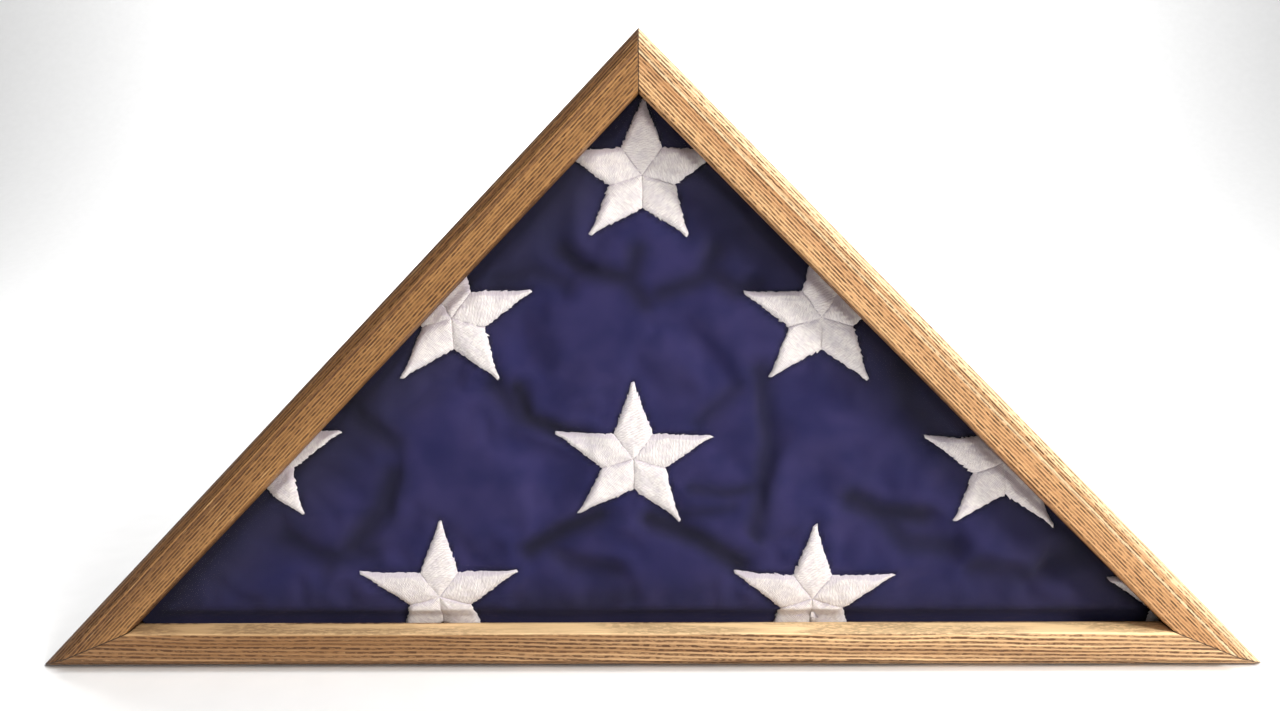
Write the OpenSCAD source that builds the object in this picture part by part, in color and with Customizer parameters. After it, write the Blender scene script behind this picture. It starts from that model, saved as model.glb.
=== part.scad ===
// Folded flag display case: a right-angled triangular oak frame and box, with a glass front,
// a burial flag folded to a triangle behind the glass and a drop-down back door.
// The case stands on its long side. +Z is up, the glass faces -Y, millimetres.
// The origin is the middle of the underside, halfway from the front face to the rear edges.

/* [Case] */
// Overall width along the base; the apex is a right angle, so the height is half of this
case_w = 660; // [600:5:760]
// Depth from the front face of the moulding to the rear edges of the boards
case_d = 100; // [92:1:120]
// Thickness of the box boards
board_t = 12; // [11:0.5:14]

/* [Front moulding] */
// Width of the moulding seen from the front, outer edge to inner lip
face_w = 22.1; // [21:0.1:24]
// Inset of the ridge where the outer slope meets the flat face
ridge_in = 9.6; // [8.5:0.1:11]
// Front-to-back thickness of the moulding
mould_t = 20; // [19:0.5:24]
// Depth from the front face to the glass
lip_d = 12.1; // [10:0.1:13]
// Radius of the eased inner edge
lip_r = 1.6; // [0.8:0.1:2]
// Width of the rebate that holds the glass
rebate_w = 6.1; // [5:0.1:7]

/* [Glass and beads] */
// Glass thickness
glass_t = 2.5; // [2:0.1:3]
// Gap between the glass edge and the rebate wall
glass_gap = 0.6; // [0.4:0.1:1]

/* [Folded flag] */
// Thickness of the folded bundle behind the beads
flag_t = 60; // [50:1:66]
// Gap between the bundle and the boards
flag_gap = 2.5; // [2:0.5:6]
// Radius of the rounded folds along the rim of the bundle
flag_r = 7; // [4:0.5:8]

/* [Back door] */
// Door panel thickness
door_t = 5; // [4:0.5:6]
// Gap between the door and the side boards
door_gap = 1.2; // [1:0.1:1.5]
// Height of the trimmed vertical ends of the door
door_end_h = 24; // [22:1:30]
// Height of the block in the apex
apex_block_h = 43; // [41:1:50]

/* [Hinges] */
// Length of each butt hinge
hinge_l = 40; // [34:1:50]
// Distance of each hinge from the middle of the case
hinge_x = 160; // [110:5:200]
// Leaf thickness
leaf_t = 1; // [0.8:0.1:1.2]
// Barrel radius
barrel_r = 2; // [1.8:0.1:2.1]
// Hinge pin radius
pin_r = 0.95; // [0.8:0.05:1]
// Radial running gap between pin and moving knuckles
pin_gap = 0.08; // [0.05:0.01:0.1]

/* [Wall hanging] */
// Keyhole entry radius, for the head of a wall screw
key_r = 4.5; // [4:0.1:4.8]
// Keyhole slot width, for the shank of a wall screw
key_slot = 4.4; // [4:0.1:4.6]
// Height of the rubber wall bumpers
bumper_h = 9; // [8.5:0.5:12]

/* [Hidden] */
$fn = 96;
root2 = sqrt(2);
case_h = case_w / 2;
leg_l = case_w / root2;
front_y = -case_d / 2;
rear_y = case_d / 2;
cut = 1;

// the moulding's outer slope, as insets and depths: round edge, fillet, shelf, cove
round_d = 14;
round_in = 4.7;
round_top = 4.5;
fillet_in = 5.1;
fillet_top = 3.2;
shelf_in = 8.3;
shelf_d = 2.5;

// glass, beads and board positions, measured back from the front face
glass_in = face_w - rebate_w + glass_gap;
glass_back = lip_d + glass_t;
bead_w = rebate_w - 1.2;
rebate_in = face_w - rebate_w;

// inner outline of the box
room_lo = board_t;
room_hi = case_h - board_t * root2;
room_x = case_h - board_t * (1 + root2);

// distance up a slope of the triangle, from its middle, of a point at x and z
function up_slope(x, z) = (z - x) / root2;

// door outline
axis_gap = 1.5;
door_lo = room_lo + axis_gap;
door_sum = case_h - (board_t + door_gap) * root2;
door_x = door_sum - door_lo - door_end_h;
door_hi = room_hi - apex_block_h - door_gap;
door_y = rear_y - door_t;

// glue blocks in the corners
block_t = 19;
block_y = rear_y - block_t;
block_x = door_x + door_gap;
apex_lo = room_hi - apex_block_h;

// hinge axis
axis_y = rear_y + barrel_r + 0.1;
axis_z = room_lo + axis_gap / 2;
knuckle_n = 5;
knuckle_gap = 0.25;
leaf_w = 9.6;
leaf_back = 0.4;
leaf_screw_x = hinge_l / 2 - 8;
leaf_screw_z = 6.6;
leaf_screw_l = 11;

// door stops
stop_w = 6;
stop_t = 6;
stop_y1 = door_y - 0.2;
stop_y0 = stop_y1 - stop_t;
stop_lo = up_slope(block_x, room_hi - block_x) + 1;
stop_hi = up_slope(room_hi - apex_lo, apex_lo) - 1;

// magnetic catch under the apex block
catch_w = 40;
catch_h = 11;
catch_t = 10;
catch_lug_h = 2;
catch_lug_w = 10;
strike_t = 1;
strike_w = 34;
strike_h = 8;
strike_screw_x = 13;
catch_y1 = door_y - strike_t - 0.3;
catch_y0 = catch_y1 - catch_t;
catch_lo = apex_lo - catch_h;
strike_z = catch_lo + 5;
magnet_w = 5.2;
magnet_h = 6;
magnet_t = 7;
magnet_gap = 1.6;
strike_screw_r = 0.9;
strike_screw_in = 3.6;

// folded bundle
flag_y0 = front_y + glass_back + 0.5;
flag_y1 = front_y + mould_t + 0.6;
flag_y2 = flag_y1 + flag_t;

// keyhole hanger plate
plate_w = 14;
plate_l = 30;
plate_t = 1.5;
plate_lo = apex_lo + 3;
plate_r = 2;
key_z = plate_lo + 10.5;
key_top = key_z + 8.5;
key_room = 9;
key_room_w = 11;
key_room_over = 3.5;
plate_screw_lo = plate_lo + 2.6;
plate_screw_hi = plate_lo + plate_l - 3;

// door knob
knob_z = catch_lo - 26;
knob_r = 8;
knob_h = 8;
knob_screw_r = 1.6;

// wood screws
screw_r = 1.1;
head_r = 2.2;
head_h = 1.1;
screw_l = 11;
clear_l = 3;

// rubber bumpers, one pair low on the corner blocks and one pair on the apex block
bumper_r = 6.5;
bumper_floor = 3;
bumper_bore = 3;
bumper_screw_l = 14;
bumper_in = 8.4;
bumper_low = [block_x + bumper_in, room_lo + bumper_in];
bumper_edge = 15;
bumper_high = [apex_block_h - bumper_edge, apex_lo + bumper_in];

// triangle of the case outline, moved in by a distance
function outline(d) = [
    [-(case_h - d * (1 + root2)), d],
    [case_h - d * (1 + root2), d],
    [0, case_h - d * root2]
];

// points on an arc, for a profile
function arc(cx, cy, r, a0, a1, n) = [
    for (i = [0:n]) [cx + r * cos(a0 + (a1 - a0) * i / n), cy + r * sin(a0 + (a1 - a0) * i / n)]
];

// points on a quarter of an ellipse, for a profile
function bow(cx, cy, rx, ry, a0, a1, n) = [
    for (i = [0:n]) [cx + rx * cos(a0 + (a1 - a0) * i / n), cy + ry * sin(a0 + (a1 - a0) * i / n)]
];

// cross-section of the moulding: [inset from the outer edge, depth behind the front face]
function moulding() = concat(
    [[0, mould_t]],
    bow(round_in, round_d, round_in, round_d - round_top, 180, 270, 10),
    [[fillet_in, fillet_top]],
    bow(shelf_in, 0, shelf_in - ridge_in, shelf_d, 90, 0, 5),
    arc(face_w - lip_r, lip_r, lip_r, -90, 0, 8),
    [[face_w, lip_d], [rebate_in, lip_d], [rebate_in, mould_t]]
);

// rectangular cross-section of a strip or board
function strip(u0, u1, v0, v1) = [[u0, v1], [u0, v0], [u1, v0], [u1, v1]];

// flat plate between two depths, from an outline drawn as [x, z]
module slab(points, y0, y1) {
    translate([0, y1, 0])
        rotate([90, 0, 0])
            linear_extrude(y1 - y0)
                polygon(points);
}

// round bar along Y between two depths
module rod_y(r, x, z, y0, y1) {
    translate([x, y1, z])
        rotate([90, 0, 0])
            cylinder(r = r, h = y1 - y0);
}

// length of moulding or board with a mitre at each end, outer edge on z = 0
module mitred(profile, length, a_lo, a_hi) {
    tall = 60;
    intersection() {
        translate([length / 2, front_y, 0])
            rotate([0, -90, 0])
                linear_extrude(length)
                    polygon(profile);
        slab([
            [-length / 2, 0],
            [length / 2, 0],
            [length / 2 - tall / tan(a_hi), tall],
            [-length / 2 + tall / tan(a_lo), tall]
        ], front_y - cut, rear_y + cut);
    }
}

// places a length on the right-hand slope of the triangle
module on_right() {
    translate([case_w / 4, 0, case_h / 2])
        rotate([0, -135, 0])
            children();
}

// the same on the left-hand slope
module on_left() {
    mirror([1, 0, 0])
        on_right()
            children();
}

// length for a sloping side: sharp mitre at the foot, square corner at the apex
module leg(profile) {
    mitred(profile, leg_l, 22.5, 45);
}

// length for the long side
module base(profile) {
    mitred(profile, case_w, 22.5, 22.5);
}

// slanted piece cut square at both ends, measured along the slope from its middle
module square_cut(profile, from, to) {
    translate([to, front_y, 0])
        rotate([0, -90, 0])
            linear_extrude(to - from)
                polygon(profile);
}

// countersunk cross-head wood screw, head up on z = 0
module screw(length) {
    difference() {
        union() {
            translate([0, 0, -head_h])
                cylinder(r1 = screw_r, r2 = head_r, h = head_h);
            translate([0, 0, 1 - length])
                cylinder(r = screw_r, h = length - 1);
            translate([0, 0, -length])
                cylinder(r1 = 0.3, r2 = screw_r, h = 1);
        }
        translate([-1.3, -0.25, -0.7])
            cube([2.6, 0.5, 1.2]);
        translate([-0.25, -1.3, -0.7])
            cube([0.5, 2.6, 1.2]);
    }
}

// the same screw driven forward from behind
module screw_y(x, y, z, length) {
    translate([x, y, z])
        rotate([-90, 0, 0])
            screw(length);
}

// countersunk hole for that screw, right through a plate and into the wood
module hole_y(x, y, z, length) {
    translate([x, y, z])
        rotate([-90, 0, 0]) {
            translate([0, 0, -head_h])
                cylinder(r1 = screw_r, r2 = head_r, h = head_h + 0.001);
            translate([0, 0, -length])
                cylinder(r = screw_r, h = length);
            cylinder(r = head_r, h = cut);
        }
}

module frame_left_rail() {
    color("peru")
        on_left()
            leg(moulding());
}

module frame_right_rail() {
    color("peru")
        on_right()
            leg(moulding());
}

module frame_bottom_rail() {
    color("peru")
        base(moulding());
}

module glass_pane() {
    color("lightcyan", 0.3)
        slab(outline(glass_in), front_y + lip_d, front_y + glass_back);
}

// quarter-round bead that holds the glass in its rebate
function bead() = concat(
    [[rebate_in, mould_t], [rebate_in, glass_back], [rebate_in + bead_w, glass_back]],
    bow(rebate_in, glass_back, bead_w, mould_t - glass_back, 10, 80, 6)
);

module glazing_bead_left() {
    color("burlywood")
        on_left()
            leg(bead());
}

module glazing_bead_right() {
    color("burlywood")
        on_right()
            leg(bead());
}

module glazing_bead_bottom() {
    color("burlywood")
        base(bead());
}

module side_board_left() {
    color("peru")
        on_left()
            leg(strip(0, board_t, mould_t, case_d));
}

module side_board_right() {
    color("peru")
        on_right()
            leg(strip(0, board_t, mould_t, case_d));
}

module bottom_board() {
    color("peru")
        difference() {
            base(strip(0, board_t, mould_t, case_d));
            each_leaf_screw()
                hole_y(0, rear_y + leaf_t, axis_z - leaf_screw_z, leaf_screw_l);
        }
}

// triangular block glued into the sharp right-hand corner
module corner_block() {
    difference() {
        slab([
            [block_x, room_lo],
            [room_x, room_lo],
            [block_x, room_x + room_lo - block_x]
        ], block_y, rear_y);
        hole_y(bumper_low.x, rear_y + bumper_floor, bumper_low.y, bumper_screw_l - 1);
    }
}

module corner_block_right() {
    color("burlywood")
        corner_block();
}

module corner_block_left() {
    color("burlywood")
        mirror([1, 0, 0])
            corner_block();
}

// block in the apex, morticed for the keyhole plate and hollowed for the wall screw's head
module apex_block() {
    color("burlywood")
        difference() {
            slab([[-apex_block_h, apex_lo], [apex_block_h, apex_lo], [0, room_hi]], block_y, rear_y);
            plate_body(0.05, plate_t + 0.001);
            slab([
                [-key_room_w / 2, key_z - key_room_w / 2],
                [key_room_w / 2, key_z - key_room_w / 2],
                [key_room_w / 2, key_top + key_room_over],
                [-key_room_w / 2, key_top + key_room_over]
            ], rear_y - plate_t - key_room, rear_y);
            hole_y(0, rear_y, plate_screw_lo, screw_l);
            hole_y(0, rear_y, plate_screw_hi, screw_l);
            each_side()
                hole_y(bumper_high.x, rear_y + bumper_floor, bumper_high.y, bumper_screw_l - 1);
            each_catch_screw()
                catch_hole();
        }
}

// repeats a piece on both sides of the middle
module each_side() {
    children();
    mirror([1, 0, 0])
        children();
}

// strip on a side board that the door closes against
module door_stop() {
    on_right()
        square_cut(strip(board_t, board_t + stop_w, stop_y0 - front_y, stop_y1 - front_y), stop_lo, stop_hi);
}

module door_stop_right() {
    color("burlywood")
        door_stop();
}

module door_stop_left() {
    color("burlywood")
        mirror([1, 0, 0])
            door_stop();
}

// folded bundle: a thick triangle with a shallow front step that reaches between the beads
module folded_flag() {
    color("midnightblue") {
        slab(outline(face_w + 1.6), flag_y0, flag_y1 + 1);
        slab(soft_outline(board_t + flag_gap, flag_r), flag_y1, flag_y2);
    }
}

// triangle outline with rounded corners
function soft_outline(d, r) = concat(
    arc(-(case_h - (d + r) * (1 + root2)), d + r, r, 135, 270, 8),
    arc(case_h - (d + r) * (1 + root2), d + r, r, 270, 405, 8),
    arc(0, case_h - (d + r) * root2, r, 45, 135, 8)
);

module back_panel() {
    color("tan")
        difference() {
            slab([
                [-door_x, door_lo],
                [door_x, door_lo],
                [door_x, door_lo + door_end_h],
                [door_sum - door_hi, door_hi],
                [door_hi - door_sum, door_hi],
                [-door_x, door_lo + door_end_h]
            ], door_y, rear_y);
            each_leaf_screw()
                hole_y(0, rear_y + leaf_t, axis_z + leaf_screw_z, door_t + leaf_t + cut);
            rod_y(knob_screw_r, 0, knob_z, door_y - cut, rear_y + cut);
            each_strike_screw()
                strike_hole();
        }
}

// moves a piece to each of the four screw positions along the hinges
module each_leaf_screw() {
    for (sx = [-1, 1])
        for (k = [-1, 1])
            translate([sx * hinge_x + k * leaf_screw_x, 0, 0])
                children();
}

// one hinge leaf: flat plate with alternate knuckles around the pin
module leaf(up, first, bore) {
    pitch = hinge_l / knuckle_n;
    difference() {
        union() {
            translate([-hinge_l / 2, rear_y, up > 0 ? axis_z + barrel_r + leaf_back : axis_z - leaf_w])
                cube([hinge_l, leaf_t, leaf_w - barrel_r - leaf_back]);
            for (i = [first:2:knuckle_n - 1]) {
                translate([
                    -hinge_l / 2 + i * pitch + knuckle_gap / 2,
                    rear_y,
                    up > 0 ? axis_z : axis_z - barrel_r - leaf_back - 0.5
                ])
                    cube([pitch - knuckle_gap, leaf_t, barrel_r + leaf_back + 0.5]);
                translate([-hinge_l / 2 + i * pitch + knuckle_gap / 2, axis_y, axis_z])
                    rotate([0, 90, 0])
                        cylinder(r = barrel_r, h = pitch - knuckle_gap);
            }
        }
        translate([-hinge_l / 2 - cut, axis_y, axis_z])
            rotate([0, 90, 0])
                cylinder(r = bore, h = hinge_l + 2 * cut);
        for (k = [-1, 1])
            hole_y(k * leaf_screw_x, rear_y + leaf_t, axis_z + up * leaf_screw_z, clear_l);
    }
}

module hinge_case_leaf_left() {
    color("gold")
        translate([-hinge_x, 0, 0])
            leaf(-1, 0, pin_r);
}

module hinge_case_leaf_right() {
    color("gold")
        translate([hinge_x, 0, 0])
            leaf(-1, 0, pin_r);
}

module hinge_door_leaf_left() {
    color("gold")
        translate([-hinge_x, 0, 0])
            leaf(1, 1, pin_r + pin_gap);
}

module hinge_door_leaf_right() {
    color("gold")
        translate([hinge_x, 0, 0])
            leaf(1, 1, pin_r + pin_gap);
}

// hinge pin with a small domed head at each end
module hinge_pin(x) {
    translate([x - hinge_l / 2 - 0.6, axis_y, axis_z])
        rotate([0, 90, 0]) {
            cylinder(r = pin_r, h = hinge_l + 1.2);
            cylinder(r1 = 1.1, r2 = 1.5, h = 0.6);
            translate([0, 0, hinge_l + 0.6])
                cylinder(r1 = 1.5, r2 = 1.1, h = 0.6);
        }
}

module hinge_pin_left() {
    color("silver")
        hinge_pin(-hinge_x);
}

module hinge_pin_right() {
    color("silver")
        hinge_pin(hinge_x);
}

module hinge_case_screws() {
    color("gold")
        each_leaf_screw()
            screw_y(0, rear_y + leaf_t, axis_z - leaf_screw_z, leaf_screw_l);
}

module hinge_door_screws() {
    color("gold")
        each_leaf_screw()
            screw_y(0, rear_y + leaf_t, axis_z + leaf_screw_z, door_t + leaf_t - 0.4);
}

// moves a piece to the two screws that fix the catch up into the apex block
module each_catch_screw() {
    for (s = [-1, 1])
        translate([s * (catch_w - catch_lug_w) / 2, (catch_y0 + catch_y1) / 2, 0])
            children();
}

// hole up through the catch's lugs
module catch_hole() {
    translate([0, 0, apex_lo - catch_lug_h - cut])
        cylinder(r = screw_r, h = screw_l + cut);
}

// plastic body of the magnetic catch, screwed up under the apex block through two lugs
module catch_housing() {
    color("whitesmoke")
        difference() {
            union() {
                translate([catch_lug_w - catch_w / 2, catch_y0, catch_lo])
                    cube([catch_w - 2 * catch_lug_w, catch_t, catch_h]);
                translate([-catch_w / 2, catch_y0, apex_lo - catch_lug_h])
                    cube([catch_w, catch_t, catch_lug_h]);
            }
            each_catch_screw() {
                catch_hole();
                translate([0, 0, apex_lo - catch_lug_h])
                    cylinder(r1 = head_r, r2 = screw_r, h = head_h);
            }
            magnets();
        }
}

// two block magnets side by side in the housing's rear face
module magnets() {
    for (s = [-1, 1])
        translate([
            s * (magnet_w + magnet_gap) / 2 - magnet_w / 2,
            catch_y1 - magnet_t,
            strike_z - magnet_h / 2
        ])
            cube([magnet_w, magnet_t, magnet_h]);
}

module catch_magnets() {
    color("dimgray")
        magnets();
}

module catch_screws() {
    color("silver")
        each_catch_screw()
            translate([0, 0, apex_lo - catch_lug_h])
                mirror([0, 0, 1])
                    screw(screw_l);
}

// the two small screws of the strike plate
module each_strike_screw() {
    for (s = [-1, 1])
        translate([s * strike_screw_x, 0, 0])
            children();
}

module strike_hole() {
    rod_y(strike_screw_r, 0, strike_z, door_y - strike_t - cut, door_y + strike_screw_in + 0.2);
}

// steel plate on the inside of the door that the magnets hold
module strike_plate() {
    color("silver")
        difference() {
            translate([-strike_w / 2, door_y - strike_t, strike_z - strike_h / 2])
                cube([strike_w, strike_t, strike_h]);
            each_strike_screw()
                strike_hole();
        }
}

module strike_screws() {
    color("silver")
        each_strike_screw() {
            rod_y(strike_screw_r, 0, strike_z, door_y - strike_t, door_y + strike_screw_in);
            translate([0, door_y - strike_t, strike_z])
                rotate([90, 0, 0])
                    cylinder(r1 = 1.9, r2 = 1.5, h = 0.2);
        }
}

// low turned knob on the door
module door_knob() {
    color("gold")
        translate([0, rear_y, knob_z])
            rotate([-90, 0, 0])
                difference() {
                    rotate_extrude()
                        polygon(concat(
                            [[0, 0], [5, 0], [5, 0.8], [3.6, 1.6], [3.4, 3], [4.2, 4]],
                            bow(0, 4.6, knob_r, knob_h - 4.6, -8, 90, 10)
                        ));
                    translate([0, 0, -cut])
                        cylinder(r = knob_screw_r, h = knob_h / 2 + cut);
                }
}

// machine screw that holds the knob from inside the door
module knob_screw() {
    color("silver") {
        rod_y(knob_screw_r, 0, knob_z, door_y, rear_y + knob_h / 2);
        translate([0, door_y, knob_z])
            rotate([90, 0, 0])
                difference() {
                    cylinder(r1 = 3.2, r2 = 2.4, h = 1.6);
                    translate([-2, -0.3, 0.8])
                        cube([4, 0.6, 1]);
                }
    }
}

// rounded plate outline, used for the plate and for its mortice
module plate_body(grow, t) {
    translate([0, rear_y, plate_lo + plate_l / 2])
        rotate([90, 0, 0])
            linear_extrude(t) {
                square([plate_w + 2 * grow, plate_l - 2 * plate_r], center = true);
                square([plate_w - 2 * plate_r, plate_l + 2 * grow], center = true);
                for (sx = [-1, 1])
                    for (sz = [-1, 1])
                        translate([sx * (plate_w / 2 - plate_r), sz * (plate_l / 2 - plate_r)])
                            circle(r = plate_r + grow);
            }
}

// steel plate with the keyhole that hooks over a wall screw
module hanger_plate() {
    color("silver")
        difference() {
            plate_body(0, plate_t);
            rod_y(key_r, 0, key_z, rear_y - plate_t - cut, rear_y + cut);
            rod_y(key_slot / 2, 0, key_top, rear_y - plate_t - cut, rear_y + cut);
            translate([-key_slot / 2, rear_y - plate_t - cut, key_z])
                cube([key_slot, plate_t + 2 * cut, key_top - key_z]);
            hole_y(0, rear_y, plate_screw_lo, clear_l);
            hole_y(0, rear_y, plate_screw_hi, clear_l);
        }
}

module hanger_screws() {
    color("silver") {
        screw_y(0, rear_y, plate_screw_lo, screw_l);
        screw_y(0, rear_y, plate_screw_hi, screw_l);
    }
}

// tapered rubber bumper with a sunk hole for its screw
module bumper(place) {
    difference() {
        translate([place.x, rear_y, place.y])
            rotate([-90, 0, 0])
                cylinder(r1 = bumper_r, r2 = bumper_r - 1.2, h = bumper_h);
        rod_y(bumper_bore, place.x, place.y, rear_y + bumper_floor, rear_y + bumper_h + cut);
        rod_y(screw_r, place.x, place.y, rear_y - cut, rear_y + bumper_floor + cut);
    }
}

module wall_bumpers() {
    color("dimgray")
        each_side() {
            bumper(bumper_low);
            bumper(bumper_high);
        }
}

module bumper_screws() {
    color("silver")
        each_side() {
            screw_y(bumper_low.x, rear_y + bumper_floor + head_h, bumper_low.y, bumper_screw_l);
            screw_y(bumper_high.x, rear_y + bumper_floor + head_h, bumper_high.y, bumper_screw_l);
        }
}

frame_left_rail();
frame_right_rail();
frame_bottom_rail();
glass_pane();
glazing_bead_left();
glazing_bead_right();
glazing_bead_bottom();
side_board_left();
side_board_right();
bottom_board();
corner_block_left();
corner_block_right();
apex_block();
door_stop_left();
door_stop_right();
folded_flag();
back_panel();
hinge_case_leaf_left();
hinge_case_leaf_right();
hinge_door_leaf_left();
hinge_door_leaf_right();
hinge_pin_left();
hinge_pin_right();
hinge_case_screws();
hinge_door_screws();
catch_housing();
catch_magnets();
catch_screws();
strike_plate();
strike_screws();
door_knob();
knob_screw();
hanger_plate();
hanger_screws();
wall_bumpers();
bumper_screws();
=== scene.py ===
# %% [markdown]
# # A folded flag in its display case
# The case is a right-angled triangle of oak that stands on its long side. A mitred moulding
# holds a pane of glass, and behind the glass lies a burial flag, folded to a thick triangle.
# The wood, glass and hardware arrive as finished solids, so this script gives them their
# finishes, and makes the two things that solids can't be: soft cloth and sewn stars.

# %% Load the frame
import math

import bmesh
import bpy
from mathutils import Euler, Matrix, Vector, noise
from mathutils.bvhtree import BVHTree


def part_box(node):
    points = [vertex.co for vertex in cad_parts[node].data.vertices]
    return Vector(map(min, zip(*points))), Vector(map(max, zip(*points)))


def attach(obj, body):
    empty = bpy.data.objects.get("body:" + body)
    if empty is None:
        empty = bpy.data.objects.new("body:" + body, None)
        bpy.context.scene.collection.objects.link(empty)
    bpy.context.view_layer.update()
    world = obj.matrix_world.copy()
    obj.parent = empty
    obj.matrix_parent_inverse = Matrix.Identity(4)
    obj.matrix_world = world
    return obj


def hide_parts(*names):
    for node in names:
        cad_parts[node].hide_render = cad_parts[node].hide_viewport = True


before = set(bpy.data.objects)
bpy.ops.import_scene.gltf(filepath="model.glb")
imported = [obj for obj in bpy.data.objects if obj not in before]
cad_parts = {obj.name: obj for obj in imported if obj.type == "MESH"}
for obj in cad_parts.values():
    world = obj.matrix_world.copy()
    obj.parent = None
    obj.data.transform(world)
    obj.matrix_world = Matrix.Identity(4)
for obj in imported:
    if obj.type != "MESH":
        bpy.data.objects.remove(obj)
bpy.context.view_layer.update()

# %% [markdown]
# ## Measures
# Everything is placed from the solids' own boxes. The base of the triangle is the moulding's
# bottom rail, the apex is half as high as the base is wide, and the cloth lives between the
# glass and the back door. Millimetres are easier to think in, so `mm` turns them into metres.

# %% Measures taken from the frame
mm = 0.001
rail_low, rail_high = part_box("frame_bottom_rail")
half_width = rail_high.x
apex_height = half_width
front_y = rail_low.y
rear_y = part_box("side_board_left")[1].y
glass_rear_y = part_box("glass_pane")[1].y
flag_low, flag_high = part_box("folded_flag")
print("half width", half_width, "front", front_y, "rear", rear_y, "flag", flag_low, flag_high)

# %% [markdown]
# ## Camera, floor and light
# The case is seen from close by and a little above, with a wide lens, so the corners spread
# and the inner ledge of the bottom rail shows. The floor is a pale sheet that curves up behind.
# One small soft lamp stands to the right and above: it lights the slopes that face it, leaves
# the left slope in shade and throws the moulding's shadow on the cloth. A wide lamp overhead
# brightens the ledge and the floor, and a pale sky fills the rest.

# %% Camera
def look_along(pitch, yaw, roll):
    """Turns a camera that looks along +Y: down by pitch, left by yaw, clockwise by roll."""
    face_forward = Euler((math.radians(90 - pitch), 0, 0)).to_matrix()
    turn = Matrix.Rotation(math.radians(yaw), 3, "Z")
    lean = Matrix.Rotation(math.radians(roll), 3, "Z")
    return (turn @ face_forward @ lean).to_4x4()


camera_data = bpy.data.cameras.new("camera")
camera_data.lens = 24.2
camera_data.sensor_width = 36
camera = bpy.data.objects.new("camera", camera_data)
camera_place = Matrix.Translation((7.5 * mm, front_y - 426 * mm, 234 * mm))
camera.matrix_world = camera_place @ look_along(8.51, 1.1, -0.62)
bpy.context.scene.collection.objects.link(camera)
bpy.context.scene.camera = camera

# %% Floor
def new_object(name, shape):
    """Turns a bmesh into an object at the origin."""
    mesh = bpy.data.meshes.new(name)
    shape.to_mesh(mesh)
    shape.free()
    made = bpy.data.objects.new(name, mesh)
    bpy.context.scene.collection.objects.link(made)
    return made


floor_shape = bmesh.new()
front_edge = [floor_shape.verts.new((x, -4, 0)) for x in (-6, 6)]
rail = [floor_shape.edges.new(front_edge)]
sweep = bmesh.ops.extrude_edge_only(floor_shape, edges=rail)["geom"]
far_ends = [v for v in sweep if isinstance(v, bmesh.types.BMVert)]
bmesh.ops.translate(floor_shape, vec=(0, 6, 0), verts=far_ends)
last = [e for e in sweep if isinstance(e, bmesh.types.BMEdge)]
bmesh.ops.spin(floor_shape, geom=last, cent=(0, 2, 2), axis=(1, 0, 0), angle=math.radians(90), steps=16)
for face in floor_shape.faces:
    face.smooth = True
floor = new_object("floor", floor_shape)

# %% Lamps and sky
def lamp(name, place, target, size, power, colour=(1, 1, 1)):
    """A square soft lamp at a place, facing a target."""
    data = bpy.data.lights.new(name, "AREA")
    data.shape = "SQUARE"
    data.size = size
    data.energy = power
    data.color = colour
    made = bpy.data.objects.new(name, data)
    aim = (Vector(target) - Vector(place)).to_track_quat("-Z", "Y")
    made.matrix_world = Matrix.Translation(place) @ aim.to_matrix().to_4x4()
    bpy.context.scene.collection.objects.link(made)
    return made


middle = (0, 0, apex_height * 0.4)
lamp("key", (1.2, -0.92, 0.95), middle, 0.3, 26, (1.0, 0.97, 0.93))
lamp("fill", (0.3, -2.0, 0.8), middle, 1.4, 9, (0.95, 0.97, 1.0))
lamp("overhead", (0.9, -0.5, 1.7), (0, -0.1, 0), 0.9, 24)
lamp("backdrop", (0, 1.4, 2.6), (0, 4, 0.6), 2.0, 160)
sky = bpy.data.worlds.new("sky")
sky.use_nodes = True
sky.node_tree.nodes["Background"].inputs["Color"].default_value = (1, 1, 1, 1)
sky.node_tree.nodes["Background"].inputs["Strength"].default_value = 0.22
bpy.context.scene.world = sky
bpy.context.scene.view_settings.view_transform = "Standard"
print("camera and", len(bpy.data.lights), "lamps")

# %% [markdown]
# ## Writing materials as sums
# A node material is a sum over textures. The class below wraps one output of a node, so that
# `1 - mask * 0.3` makes the Math nodes by itself, and a `Finish` is a new material with one
# method that adds any node: its type, its settings, then what goes into its sockets.

# %% Wires and finishes
class Wire:
    """One output of a node, which can be added, scaled and so on."""

    def __init__(self, finish, socket):
        self.finish = finish
        self.socket = socket

    def math(self, operation, *others):
        values = {i: v for i, v in enumerate((self, *others))}
        return self.finish.node("ShaderNodeMath", {"operation": operation}, values)

    def __add__(self, other):
        return self.math("ADD", other)

    def __sub__(self, other):
        return self.math("SUBTRACT", other)

    def __mul__(self, other):
        return self.math("MULTIPLY", other)

    def __truediv__(self, other):
        return self.math("DIVIDE", other)

    def __rsub__(self, other):
        return self.finish.node("ShaderNodeMath", {"operation": "SUBTRACT"}, {0: other, 1: self})

    def __pow__(self, other):
        return self.math("POWER", other)

    __radd__ = __add__
    __rmul__ = __mul__

    def step(self, low, high):
        """0 below low, 1 above high, smooth between; low may be the larger."""
        settings = {"interpolation_type": "SMOOTHSTEP"}
        if low < high:
            ends = {"From Min": low, "From Max": high}
            return self.finish.node("ShaderNodeMapRange", settings, {"Value": self, **ends})
        ends = {"From Min": high, "From Max": low, "To Min": 1.0, "To Max": 0.0}
        return self.finish.node("ShaderNodeMapRange", settings, {"Value": self, **ends})


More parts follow.
